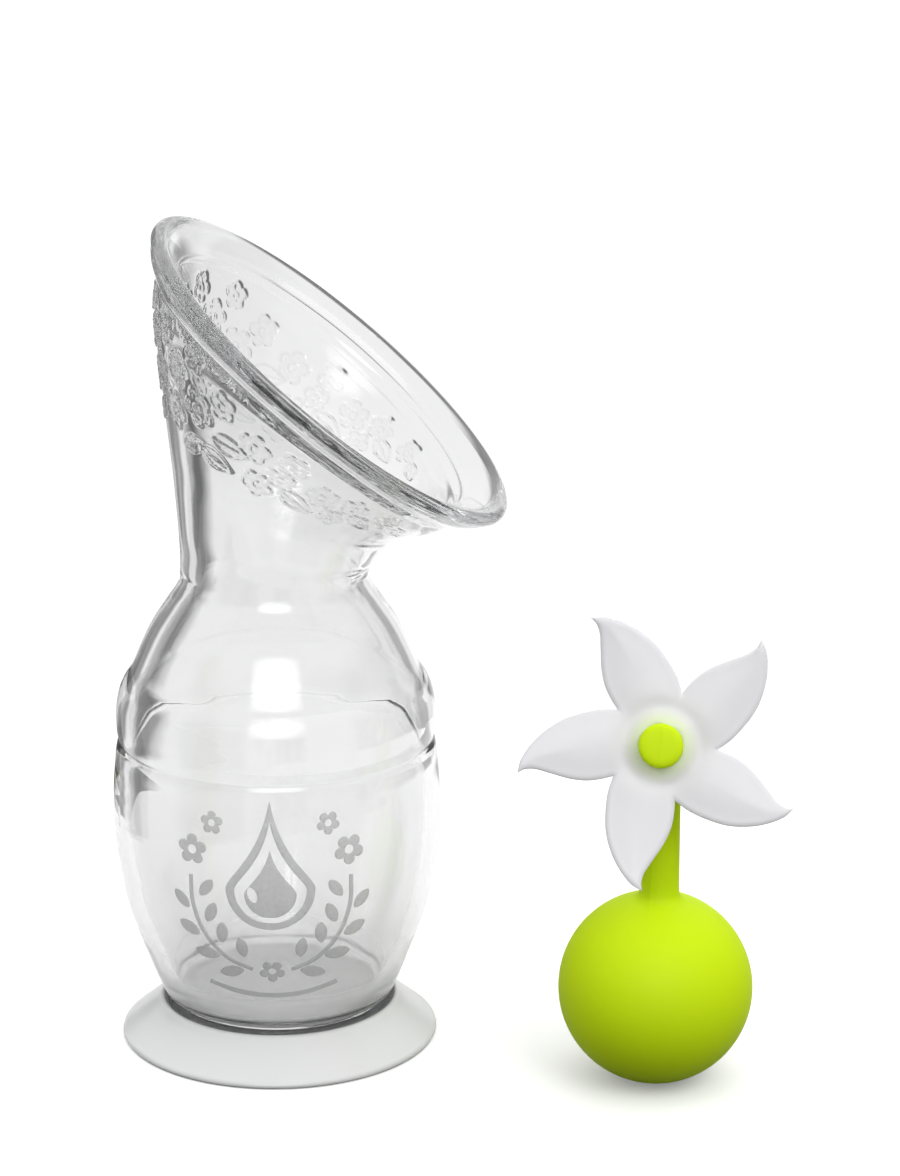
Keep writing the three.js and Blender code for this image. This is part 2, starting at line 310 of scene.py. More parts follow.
def tinted(nodes, links, factor, low, high):
    """A colour between two, by a factor; either end may be a colour or another node's output."""
    tone = nodes.new("ShaderNodeMix")
    tone.data_type = "RGBA"
    links.new(factor, tone.inputs["Factor"])
    for socket, value in (("A", low), ("B", high)):
        if isinstance(value, tuple):
            tone.inputs[socket].default_value = (*value, 1)
        else:
            links.new(value, tone.inputs[socket])
    return tone.outputs["Result"]


SILICONE_IOR = 1.41


def clear_silicone():
    """Clear moulded silicone: greyer towards the lip and on raised lines, milky at the bottle's floor."""
    material, nodes, links, shader = new_material("clear_silicone")
    shader.inputs["IOR"].default_value = SILICONE_IOR
    relief, milky = vertex_number(nodes, "relief"), vertex_number(nodes, "milky")
    thick = vertex_number(nodes, "thick")
    body = tinted(nodes, links, thick, (0.885, 0.885, 0.887), (0.79, 0.79, 0.792))
    floor = tinted(nodes, links, milky, body, (0.97, 0.97, 0.97))
    line_share = maths(nodes, links, "MULTIPLY", relief, 0.55)
    lines = tinted(nodes, links, line_share, floor, (0.50, 0.50, 0.50))
    links.new(lines, shader.inputs["Base Color"])
    clear = maths(nodes, links, "MULTIPLY_ADD", milky, -0.85, 1.0)
    links.new(clear, shader.inputs["Transmission Weight"])
    waves = noise_node(nodes, links, 55, 1.5)
    grain = noise_node(nodes, links, 900, 2)
    smooth = ranged(nodes, links, waves.outputs["Fac"], 0.0, 0.025)
    frost = maths(nodes, links, "MULTIPLY_ADD", relief, 0.12, smooth)
    links.new(maths(nodes, links, "MULTIPLY_ADD", milky, 0.35, frost), shader.inputs["Roughness"])
    under = bumped(nodes, links, shader, waves.outputs["Fac"], 0.0001, 0.3)
    bumped(nodes, links, shader, grain.outputs["Fac"], 0.000004, 0.4, under)
    depth = nodes.new("ShaderNodeVolumeAbsorption")
    depth.inputs["Color"].default_value = (0.50, 0.505, 0.515, 1)
    depth.inputs["Density"].default_value = 11
    links.new(depth.outputs["Volume"], nodes["Material Output"].inputs["Volume"])
    return material


def milky_silicone():
    """Slightly cloudy silicone of the suction base, with painted shade in the socket round the bottle's
    foot.
    """
    material, nodes, links, shader = new_material("milky_silicone")
    # Painted shade: the socket round the bottle's foot is coloured near black where shade falls in the
    # recess.
    disc = tinted(nodes, links, vertex_number(nodes, "painted_groove_shade"), (0.88, 0.885, 0.89), (0.10, 0.10, 0.10))
    links.new(disc, shader.inputs["Base Color"])
    shader.inputs["Transmission Weight"].default_value = 0.15
    shader.inputs["IOR"].default_value = SILICONE_IOR
    shader.inputs["Subsurface Weight"].default_value = 0.3
    shader.inputs["Subsurface Radius"].default_value = (0.003, 0.003, 0.003)
    waves = noise_node(nodes, links, 120, 2)
    links.new(ranged(nodes, links, waves.outputs["Fac"], 0.14, 0.26), shader.inputs["Roughness"])
    bumped(nodes, links, shader, waves.outputs["Fac"], 0.0002, 0.3)
    return material


def lime_silicone():
    """Satin lime silicone with a fine powdery grain and faint tone changes."""
    material, nodes, links, shader = new_material("lime_silicone")
    shader.inputs["Specular IOR Level"].default_value = 0.15
    shader.inputs["IOR"].default_value = SILICONE_IOR
    shader.inputs["Subsurface Weight"].default_value = 0.05
    shader.inputs["Subsurface Radius"].default_value = (0.004, 0.006, 0.001)
    clouds = noise_node(nodes, links, 70, 3)
    lime = tinted(nodes, links, clouds.outputs["Fac"], (0.61, 0.84, 0.003), (0.64, 0.87, 0.006))
    links.new(lime, shader.inputs["Base Color"])
    grain = noise_node(nodes, links, 2600, 2)
    links.new(ranged(nodes, links, clouds.outputs["Fac"], 0.5, 0.66), shader.inputs["Roughness"])
    bumped(nodes, links, shader, grain.outputs["Fac"], 0.00002, 0.25)
    return material


# The painted green glow of the hub, standing in for light from the green neck through the white silicone,
# fades between these distances from its centre, in millimetres.
PAINTED_GREEN_GLOW_FROM, PAINTED_GREEN_GLOW_TO = 4.2, 7.8


def white_silicone():
    """White silicone of the flower, with a painted green glow on the hub where light from the stem's neck
    shows through.
    """
    material, nodes, links, shader = new_material("white_silicone")
    shader.inputs["IOR"].default_value = SILICONE_IOR
    shader.inputs["Subsurface Weight"].default_value = 0.35
    shader.inputs["Subsurface Radius"].default_value = (0.004, 0.004, 0.0042)
    where = nodes.new("ShaderNodeTexCoord")
    reach = nodes.new("ShaderNodeVectorMath")
    reach.operation = "DISTANCE"
    reach.inputs[1].default_value = tuple(HUB_CENTRE * MM)
    links.new(where.outputs["Object"], reach.inputs[0])
    glow = nodes.new("ShaderNodeMapRange")
    glow.interpolation_type = "SMOOTHSTEP"
    glow.inputs["From Min"].default_value = PAINTED_GREEN_GLOW_FROM * MM
    glow.inputs["From Max"].default_value = PAINTED_GREEN_GLOW_TO * MM
    glow.inputs["To Min"].default_value = 0.75
    glow.inputs["To Max"].default_value = 0.0
    links.new(reach.outputs["Value"], glow.inputs["Value"])
    # Painted light: the colour turns green near the hub, standing in for light through the silicone from the
    # green neck behind.
    petals = tinted(nodes, links, glow.outputs["Result"], (0.785, 0.778, 0.797), (0.72, 0.81, 0.50))
    links.new(petals, shader.inputs["Base Color"])
    grain = noise_node(nodes, links, 1800, 2)
    links.new(ranged(nodes, links, grain.outputs["Fac"], 0.33, 0.45), shader.inputs["Roughness"])
    bumped(nodes, links, shader, grain.outputs["Fac"], 0.00002, 0.2)
    return material


def print_ink():
    """Pale grey frosted print, slightly see-through and uneven."""
    material, nodes, links, shader = new_material("print_ink")
    shader.inputs["Base Color"].default_value = (0.66, 0.66, 0.665, 1)
    speckle = noise_node(nodes, links, 1500, 2)
    links.new(ranged(nodes, links, speckle.outputs["Fac"], 0.45, 0.62), shader.inputs["Alpha"])
    links.new(ranged(nodes, links, speckle.outputs["Fac"], 0.45, 0.6), shader.inputs["Roughness"])
    return material


# ---------------------------------------------------------------- pump body

def flower_relief(x, y, radius, turn):
    """Raised lines of a five-petal flower with a curled heart, from 0 to 1."""
    rho = np.hypot(x, y)
    phi = np.arctan2(y, x) + turn
    edge = radius * (0.58 + 0.42 * np.abs(np.cos(2.5 * phi)) ** 0.7)
    rim = np.exp(-(((rho - edge) / 0.27) ** 2))
    inner = 0.6 * np.exp(-(((rho - 0.66 * edge) / 0.20) ** 2))
    curl = 0.20 * radius + 0.26 * ((phi % TAU) / TAU) * radius * 0.6
    heart = np.exp(-(((rho - curl) / 0.22) ** 2))
    body = 0.22 * (rho < edge)
    return np.maximum.reduce([rim, inner, heart, body])


def leaf_relief(x, y, length, turn):
    """Raised outline, midrib and side veins of a leaf, from 0 to 1."""
    c, s = math.cos(turn), math.sin(turn)
    along, across = x * c + y * s, -x * s + y * c
    part = np.clip(along / length + 0.5, 0, 1)
    half = 0.24 * length * np.sin(math.pi * part**0.85)
    inside = np.abs(along) < length / 2
    rim = np.exp(-(((np.abs(across) - half) / 0.26) ** 2)) * inside
    rib = np.exp(-((across / 0.22) ** 2)) * inside
    slanted = np.cos((along - 0.9 * np.abs(across)) / (0.075 * length) * math.pi) ** 8
    veins = 0.6 * slanted * (np.abs(across) < half) * inside
    return np.maximum.reduce([rim, rib, veins])


# Relief on the funnel: degrees round from the back, place up the funnel, kind, size and turn.
RELIEF = [
    (8, 0.95, "flower", 2.6, 0.2), (19, 0.88, "flower", 3.2, 0.9), (6, 0.83, "flower", 3.2, 0.5),
    (31, 0.93, "flower", 2.7, 0.1), (23, 0.76, "flower", 3.8, 0.7), (39, 0.84, "flower", 3.5, 1.1),
    (9, 0.70, "flower", 3.1, 0.4), (35, 0.67, "flower", 3.8, 0.0), (49, 0.93, "flower", 2.6, 0.9),
    (51, 0.76, "flower", 3.9, 0.3), (20, 0.62, "leaf", 6.5, 1.1), (48, 0.60, "leaf", 7.5, 0.5),
    (63, 0.85, "flower", 3.1, 0.6), (67, 0.70, "leaf", 9.0, 0.15), (60, 0.60, "leaf", 8.5, -0.15),
    (77, 0.78, "flower", 3.3, 1.0), (79, 0.61, "flower", 3.0, 0.2), (88, 0.71, "flower", 2.6, 0.8),
    (92, 0.82, "flower", 2.7, 0.1), (96, 0.62, "leaf", 8.0, -0.3), (104, 0.74, "flower", 3.0, 0.5),
    (110, 0.63, "flower", 2.4, 0.0), (117, 0.78, "flower", 2.6, 0.9), (122, 0.68, "leaf", 6.5, -0.4),
    (131, 0.79, "flower", 2.3, 0.3), (139, 0.72, "leaf", 5.0, -0.6),
]
RELIEF_HEIGHT = 0.38
# A piece of relief stays within this many sizes of its middle, and this many millimetres of its surface.
RELIEF_REACH, RELIEF_DEPTH = 1.6, 6.0


def funnel_relief(points, normals, angles):
    """Height of the raised flowers and leaves over the funnel's grid, the same on both sides."""
    rows = points.shape[0]
    height = np.zeros(points.shape[:2])
    for degrees, up, kind, size, turn in RELIEF:
        for side in (-1, 1):
            row = int(round(up * (rows - 1)))
            place = math.pi + side * math.radians(degrees)
            column = int(np.argmin(np.abs(angles - place)))
            middle, out = points[row, column], normals[row, column]
            around = points[row, (column + 1) % len(angles)] - points[row, column - 1]
            around = side * around / np.linalg.norm(around)
            rising = np.cross(out, around) * side
            offset = points - middle
            x, y = offset @ around, offset @ rising
            near = (np.hypot(x, y) < RELIEF_REACH * size) & (np.abs(offset @ out) < RELIEF_DEPTH)
            shape = flower_relief if kind == "flower" else leaf_relief
            height = np.maximum(height, shape(x, y, size, turn) * near)
    return height


# Level marks: how many, where they start, how far apart, long and short lengths, and their height.
TICKS, FIRST_TICK, TICK_STEP = 14, 20.0, 3.2
LONG_TICK, SHORT_TICK, TICK_HEIGHT = 7.0, 4.0, 0.045
TICK_START = math.radians(196)
TICK_RADIUS = 30.0


def tick_relief(points, angles):
    """Faint raised level marks on the bottle's back, left of the middle: long and short lines."""
    height = np.zeros(points.shape[:2])
    for step in range(TICKS):
        level = FIRST_TICK + TICK_STEP * step
        reach = LONG_TICK if step % 2 == 0 else SHORT_TICK
        across = (angles[None, :] - TICK_START) * TICK_RADIUS
        along = (np.clip(across, 0, reach) - across) / 0.35
        line = np.exp(-(((points[..., 2] - level) / 0.33) ** 2) - along**2)
        height = np.maximum(height, line)
    return TICK_HEIGHT * height


# Heights between which the bottle's inside turns milky, and the slanted range that greys towards the lip.
CLEAR_ABOVE, MILKY_DEPTH = 24.0, 15.0
GREY_FROM, GREY_RANGE, GREY_SLANT = 108.0, 22.0, 0.6


def pump_body(material):
    """Bottle, neck, flange and lip as one closed skin, outside and inside."""
    u = np.arange(COLUMNS) / COLUMNS
    angles = TAU * u + BACK_DENSITY * np.sin(TAU * u)
    foot = ring_points(level_rings(run_points(FOOT_RUNS, 0.5)), angles)
    bottle = ring_points(level_rings(run_points(BOTTLE_RUNS, 0.8)), angles)
    bottle += grid_normals(bottle) * tick_relief(bottle, angles)[..., None]
    funnel = ring_points(funnel_rings(190, 0), angles)
    normals = grid_normals(funnel)
    raised = funnel_relief(funnel, normals, angles)
    funnel += RELIEF_HEIGHT * raised[..., None] * normals
    lip = ring_points(lip_rings(LIP_RUNS, 0.45), angles)
    inner_funnel = ring_points(funnel_rings(56, 1), angles)[::-1][4:]
    inner_bottle = ring_points(level_rings(run_points(INNER_BOTTLE_RUNS, 1.1)), angles)
    outside = np.concatenate([foot, bottle, funnel, lip[1:]])
    points = np.concatenate([outside, inner_funnel, inner_bottle])
    made = add_mesh("pump_body_skin", *skin(points), material)

    slanted = points[..., 2] + GREY_SLANT * points[..., 0]
    thick = np.clip((slanted - GREY_FROM) / GREY_RANGE, 0, 1)
    below_funnel = len(foot) + len(bottle)
    relief = np.zeros(points.shape[:2])
    relief[below_funnel:below_funnel + len(funnel)] = raised
    milky = np.clip((CLEAR_ABOVE - points[..., 2]) / MILKY_DEPTH, 0, 1) ** 2
    milky[:len(outside)] = 0
    # The two cap points come last: the first is under the foot, the second on the bottle's floor.
    for name, values, on_floor in (("relief", relief, 0), ("milky", milky, 1), ("thick", thick, 0)):
        mark(made, name, np.append(values, [0, on_floor]))
    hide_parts("pump_body")
    return made


# ---------------------------------------------------------------- print on the bottle

PRINT_ANGLE = math.radians(274)
PRINT_HEIGHT = 38.0
PRINT_LIFT = 0.05
# The flat print is cut into a grid this fine before it is wrapped round the bottle.
PRINT_REACH, PRINT_GRID = 21, 1.0


def drop_shape(x, y, radius, tip, count=64):
    """A drop: a round bottom and two sides that sweep up to a point."""
    points = []
    for i in range(count):
        a = TAU * i / count - math.pi / 2
        lift = max(0.0, math.sin(a))
        width = math.cos(a) * (1 - 0.92 * lift**1.5)
        points.append((x + radius * width, y + radius * math.sin(a) + (tip - radius) * lift**3))
    return points


def leaf_shape(x, y, length, turn, count=28):
    """A pointed leaf from its foot at x, y."""
    points = []
    for i in range(count):
        a = TAU * i / count
        along = length * (0.5 - 0.5 * math.cos(a))
        across = 0.26 * length * math.sin(a) * abs(math.sin(a)) ** 0.35
        points.append((
            x + along * math.cos(turn) - across * math.sin(turn),
            y + along * math.sin(turn) + across * math.cos(turn),
        ))
    return points


def flower_shape(x, y, radius, turn, count=60):
    """The outline of a five-petal flower."""
    points = []
    for i in range(count):
        a = TAU * i / count
        r = radius * (0.55 + 0.45 * abs(math.cos(2.5 * (a + turn))) ** 0.6)
        points.append((x + r * math.cos(a), y + r * math.sin(a)))
    return points


def circle_shape(x, y, radius, count=28):
    """Evenly spaced points round a circle."""
    turns = [TAU * i / count for i in range(count)]
    return [(x + radius * math.cos(a), y + radius * math.sin(a)) for a in turns]


def band_shape(path, width):
    """A closed strip of even width along a path."""
    p = smooth_curve(path, 40)
    run = np.gradient(p, axis=0)
    side = np.stack([-run[:, 1], run[:, 0]], 1) / np.linalg.norm(run, axis=1, keepdims=True)
    return np.vstack([p + side * width / 2, (p - side * width / 2)[::-1]]).tolist()


def print_outlines():
    """A milk drop between two leafy sprigs with small flowers; shapes inside shapes are holes."""
    drops = [(3.2, 8.6, 17.6), (3.0, 6.9, 13.6), (2.2, 5.0, 9.0)]
    shapes = [drop_shape(0, y, radius, tip) for y, radius, tip in drops]
    shapes.append(leaf_shape(-2.9, 0.4, 3.4, 1.9))
    stem = [(3.7, -14.4), (7.8, -12.6), (13.0, -7.4), (15.6, -0.6), (15.8, 5.0)]
    leaves = [
        (5.4, -14.6, 5.0, -0.25), (10.2, -11.8, 5.2, 0.1), (14.2, -7.6, 5.0, 0.45), (16.4, -2.2, 4.6, 0.8),
        (5.2, -11.6, 4.4, 1.35), (9.6, -8.8, 4.6, 1.6), (12.6, -4.6, 4.6, 1.95), (13.9, 0.9, 4.4, 2.2),
    ]
    for side in (-1, 1):
        shapes.append(band_shape([(side * x, y) for x, y in stem], 0.9))
        for x, y, length, turn in leaves:
            shapes.append(leaf_shape(side * x, y, length, turn if side > 0 else math.pi - turn))
        for x, y, radius in ((15.4, 10.2, 3.1), (11.2, 16.0, 2.3)):
            shapes.append(flower_shape(side * x, y, radius, 0.3 * side))
            shapes.append(circle_shape(side * x, y, 0.3 * radius))
    shapes.append(flower_shape(0, -14.8, 2.5, 0.31))
    shapes.append(circle_shape(0, -14.8, 0.75))
    swash = [(-12.5, -18.4), (-6.5, -20.0), (0, -20.6), (6.5, -20.0), (12.5, -18.4)]
    shapes.append(band_shape(swash, 1.1))
    return shapes


def flat_print():
    """The filled print as a flat mesh, with its outlines' holes left open."""
    curve = bpy.data.curves.new("print_outlines", "CURVE")
    curve.dimensions = "2D"
    curve.fill_mode = "BOTH"
    for shape in print_outlines():
        spline = curve.splines.new("POLY")
        spline.points.add(len(shape) - 1)
        for point, (x, y) in zip(spline.points, shape):
            point.co = (x, y, 0, 1)
        spline.use_cyclic_u = True
    flat = bpy.data.objects.new("print_flat", curve)
    bpy.context.scene.collection.objects.link(flat)
    bpy.context.view_layer.update()
    filled = flat.evaluated_get(bpy.context.evaluated_depsgraph_get())
    mesh = bpy.data.meshes.new_from_object(filled)
    bpy.data.objects.remove(flat)
    bpy.data.curves.remove(curve)
    return mesh


def barrel_print(material):
    """The print as a thin closed sheet wrapped round the front of the bottle."""
    mesh = flat_print()
    bm = bmesh.new()
    bm.from_mesh(mesh)
    bpy.data.meshes.remove(mesh)
    bmesh.ops.remove_doubles(bm, verts=bm.verts, dist=1e-4)
    for axis in (Vector((1, 0, 0)), Vector((0, 1, 0))):
        for cut in np.arange(-PRINT_REACH, PRINT_REACH + PRINT_GRID / 2, PRINT_GRID):
            everything = [*bm.verts, *bm.edges, *bm.faces]
            bmesh.ops.bisect_plane(bm, geom=everything, plane_co=axis * cut, plane_no=axis)
    outline = run_points(BOTTLE_RUNS, 0.5)
    bm.verts.ensure_lookup_table()
    flat_points = np.array([v.co[:2] for v in bm.verts])
    faces = [[v.index for v in f.verts] for f in bm.faces]
    bm.free()

    height = PRINT_HEIGHT + flat_points[:, 1]
    radius = np.interp(height, outline[:, 1], outline[:, 0])
    angle = PRINT_ANGLE + flat_points[:, 0] / radius
    layers = []
    for lift in (PRINT_LIFT, PRINT_LIFT / 2):
        out = radius + lift
        layers.append(np.stack([out * np.cos(angle), out * np.sin(angle), height], 1))
    count = len(flat_points)
    under = [[i + count for i in reversed(f)] for f in faces]
    walked = dict.fromkeys((a, b) for f in faces for a, b in zip(f, f[1:] + f[:1]))
    sides = [[b, a, a + count, b + count] for a, b in walked if (b, a) not in walked]
    return add_mesh("barrel_print", np.vstack(layers), faces + under + sides, material)


# ---------------------------------------------------------------- base, stopper and flower

# Radius and height from which painted shade darkens the base's socket inwards and upwards.
GROOVE_SHADE_RADIUS, GROOVE_SHADE_FADE = 23.3, 0.6
GROOVE_SHADE_HEIGHT, GROOVE_SHADE_RISE = 5.6, 0.8


def suction_base(material):
    """The flared disc with its hollow below and the socket for the bottle's foot."""
    angles = TAU * np.arange(192) / 192
    points = ring_points(level_rings(run_points(BASE_RUNS, 0.45)), angles)
    made = add_mesh("suction_base_skin", *skin(points), material)
    radius = np.hypot(points[..., 0], points[..., 1])
    # Painted shade: a mask that darkens the socket's inner wall towards its top, where shade falls round the
    # bottle's foot.
    inward = np.clip((GROOVE_SHADE_RADIUS - radius) / GROOVE_SHADE_FADE, 0, 1)
    painted_groove_shade = inward * np.clip((points[..., 2] - GROOVE_SHADE_HEIGHT) / GROOVE_SHADE_RISE, 0, 1)
    mark(made, "painted_groove_shade", np.append(painted_groove_shade, [0, 0]))
    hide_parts("suction_base")
    return made


def stem_ring(centre, lean, radius):
    """A ring across the stem, leaning forwards from level by an angle."""
    return (
        centre, np.array([radius, 0.0, 0.0]),
        radius * np.array([0.0, math.cos(lean), math.sin(lean)]), np.zeros(3),
    )


# The radius at which the ball runs over into the stem's foot.
SHOULDER_RADIUS = 5.6


def stopper(material):
    """Ball, stem, bend, neck and button as one skin of rings."""
    foot = -math.asin(BALL_CENTRE / BALL_RADIUS)
    top = math.acos(SHOULDER_RADIUS / BALL_RADIUS)
    rows = 110
    rings = [stem_ring(np.array([0.0, 0.0, 0.0]), 0, 1.2)]
    for row in range(rows + 1):
        angle = foot + (top - foot) * row / rows
        height = max(0.0, BALL_CENTRE + BALL_RADIUS * math.sin(angle))
        rings.append(stem_ring(np.array([0.0, 0.0, height]), 0, BALL_RADIUS * math.cos(angle)))
    shoulder = BALL_CENTRE + BALL_RADIUS * math.sin(top)
    fillet = [
        (SHOULDER_RADIUS, 0, shoulder), (4.7, 0.3, shoulder + 0.45), (4.05, 0.45, shoulder + 1.1),
        (3.78, STEM_OFFSET, shoulder + 2.2), (STEM_RADIUS, STEM_OFFSET, shoulder + 4),
    ]
    for radius, aside, height in smooth_curve(fillet, 12)[1:]:
        rings.append(stem_ring(np.array([aside, 0.0, height]), 0, radius))

    bend = math.pi / 2 - FACE_ELEVATION
    button = BUTTON_CENTRE - STOPPER_PLACE
    start = button - STEM_REACH * FACE_OUT - np.array([0, 0, ELBOW_RADIUS * math.tan(bend / 2)])
    for height in np.linspace(shoulder + 5, start[2] - 0.8, 30):
        rings.append(stem_ring(np.array([STEM_OFFSET, 0.0, height]), 0, STEM_RADIUS))
    for lean in np.linspace(0, bend, 20):
        centre = start + ELBOW_RADIUS * np.array([0, math.cos(lean) - 1, math.sin(lean)])
        rings.append(stem_ring(centre, lean, STEM_RADIUS))
    neck = [
        (-3.6, STEM_RADIUS), (-3.45, 3.4), (-3.2, NECK_THROUGH_HUB), (-1.3, NECK_THROUGH_HUB), (-0.82, 3.3),
    ]
    cap = [
        (-0.8, 3.9), (-0.4, 4.15), (0.3, BUTTON_RADIUS), (0.9, 4.1), (1.3, 3.7), (1.52, 3.0), (1.63, 2.0),
        (BUTTON_FRONT, 0.4),
    ]
    for distance, radius in np.vstack([smooth_curve(neck, 14), smooth_curve(cap, 26)]):
        rings.append(stem_ring(button + distance * FACE_OUT, bend, radius))
    parts = [np.array([ring[i] for ring in rings]) for i in range(4)]
    points = ring_points(parts, TAU * np.arange(128) / 128)
    points += grid_normals(points) * parting_ridge(points)[..., None]
    made = add_mesh("stopper_skin", *skin(points + STOPPER_PLACE), material)
    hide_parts("stopper")
    return made


def parting_ridge(points):
    """The mould's fine parting line, in a plane that leans a little off the stem."""
    lean = math.radians(3)
    aside = (points[..., 0] - STEM_OFFSET) * math.cos(lean) - (points[..., 2] - 70) * math.sin(lean)
    on_front = np.clip((2.0 - points[..., 1]) / 3, 0, 1)
    return 0.07 * np.exp(-((aside / 0.16) ** 2)) * on_front


def petal_side(side, count):
    """One side of a petal as radius and angle from its tip."""
    corners = [(r * math.cos(math.radians(a)), r * math.sin(math.radians(a))) for r, a in side]
    x_y = smooth_curve(corners, count)
    return np.stack([np.hypot(x_y[:, 0], x_y[:, 1]), np.arctan2(x_y[:, 1], x_y[:, 0])], 1)


def swirl(radius):
    """The angle of a petal's middle line at a radius, from its tip."""
    full, hollow = petal_side(PETAL_FULL_SIDE, 60), petal_side(PETAL_HOLLOW_SIDE, 60)[::-1]
    middle = (full[:, 1] + np.interp(full[:, 0], hollow[:, 0], hollow[:, 1])) / 2
    return np.interp(radius, full[:, 0], middle)


def flat_flower(columns, rows):
    """The flower laid flat: its edge, and a grid from the hub's hole to the edge along swirling lines."""
    sides = [petal_side(side, columns)[:-1] for side in (PETAL_FULL_SIDE, PETAL_HOLLOW_SIDE)]
    one = np.vstack(sides)
    turns = FIRST_TIP + TAU * np.arange(PETALS) / PETALS
    radius = np.tile(one[:, 0], PETALS)
    straight = (one[:, 1] - swirl(one[:, 0]))[None] + turns[:, None]
    part = (1 - (1 - np.linspace(0, 1, rows)) ** 1.6)[:, None]
    rho = HUB_HOLE_RADIUS + (radius[None] - HUB_HOLE_RADIUS) * part
    phi = straight.reshape(1, -1) + swirl(rho)
    grid = np.stack([rho * np.cos(phi), rho * np.sin(phi)], -1)
    return grid[-1], grid


def edge_distance(points, edge):
    """Distance of flat points to a closed outline."""
    near = np.full(points.shape[:-1], np.inf)
    following = np.roll(edge, -1, 0)
    for a, b in zip(edge, following):
        run = b - a
        part = np.clip(((points - a) @ run) / max(run @ run, 1e-12), 0, 1)
        near = np.minimum(near, np.linalg.norm(points - a - part[..., None] * run, axis=-1))
    return near


def flower(material):
    """Five pillowed petals round the hub's hole, curling forward at their tips."""
    edge, flat = flat_flower(30, 34)
    rho = np.linalg.norm(flat, axis=-1)
    inside = edge_distance(flat, edge)
    roll = np.sqrt(np.clip(1 - (1 - np.clip(inside / 1.0, 0, 1)) ** 2, 0, 1))
    pillow = 1 - np.exp(-((inside / 3.4) ** 2))
    hub_edge = np.sqrt(np.clip(1 - (1 - np.clip((rho - HUB_HOLE_RADIUS) / 0.5, 0, 1)) ** 2, 0, 1))
    half = 0.05 + (0.45 + 0.40 * pillow) * roll * (0.6 + 0.4 * hub_edge)
    reach = np.clip((rho - 7) / 20, 0, 1)
    curl = 1.5 * reach**2.2
    dish = 0.35 * np.exp(-(((rho - 7.2) / 1.6) ** 2))
    front = np.concatenate([flat, (curl - dish + half)[..., None]], -1)
    back = np.concatenate([flat, (curl - half)[..., None]], -1)
    local = np.concatenate([front, back[::-1]])
    points = (
        HUB_CENTRE + local[..., 0:1] * np.array([1.0, 0.0, 0.0]) + local[..., 1:2] * FACE_UP
        + local[..., 2:3] * FACE_OUT
    )
    vertices, faces = skin(points[::-1], closed_rows=True)
    made = add_mesh("flower_skin", vertices, faces, material)
    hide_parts("flower")
    return made


# ---------------------------------------------------------------- stage, light and camera

FLOOR_CENTRE, FLOOR_RADIUS, FLOOR_SIDES, FLOOR_DROP = (80, -20), 215, 96, 0.05
FLOOR_WHITE = (0.93, 0.93, 0.93)


def white_floor():
    """A white disc that the camera sees a little brighter, and that throws less light back up."""
    material, nodes, links, shader = new_material("studio_floor")
    shader.inputs["Roughness"].default_value = 0.7
    shader.inputs["Specular IOR Level"].default_value = 0.0
    path = nodes.new("ShaderNodeLightPath")
    tone = tinted(nodes, links, path.outputs["Is Diffuse Ray"], FLOOR_WHITE, (0.10, 0.10, 0.10))
    links.new(tone, shader.inputs["Base Color"])
    shader.inputs["Emission Color"].default_value = (1, 1, 1, 1)
    glow = ranged(nodes, links, path.outputs["Is Camera Ray"], 0, 0.22)
    links.new(glow, shader.inputs["Emission Strength"])
    corners = [
        (x, y, -FLOOR_DROP) for x, y in circle_shape(*FLOOR_CENTRE, FLOOR_RADIUS, FLOOR_SIDES)
    ]
    disc = [tuple(range(FLOOR_SIDES))]
    add_mesh("studio_floor", corners, disc, material, smooth=False)


# The studio all round at the horizon: degrees from +Y towards +X, and brightness. Bright panels stand behind
# the usual views, with darker cards between and beside them, so that clear edges show.
PANELS = [
    (-180, 1.0), (-168, 1.0), (-160, 0.12), (-116, 0.12), (-108, 1.1), (-78, 1.1), (-75, 0.05),
    (-60, 0.05), (-56, 0.95), (-42, 1.0), (-37, 0.2), (-19, 0.2), (-14, 1.1), (17, 1.1), (22, 0.45),
    (36, 0.45), (43, 1.0), (47, 1.0), (52, 0.06), (92, 0.06), (110, 0.2), (117, 1.0), (150, 1.0),
    (155, 0.25), (172, 0.25), (177, 1.0), (180, 1.0),
]


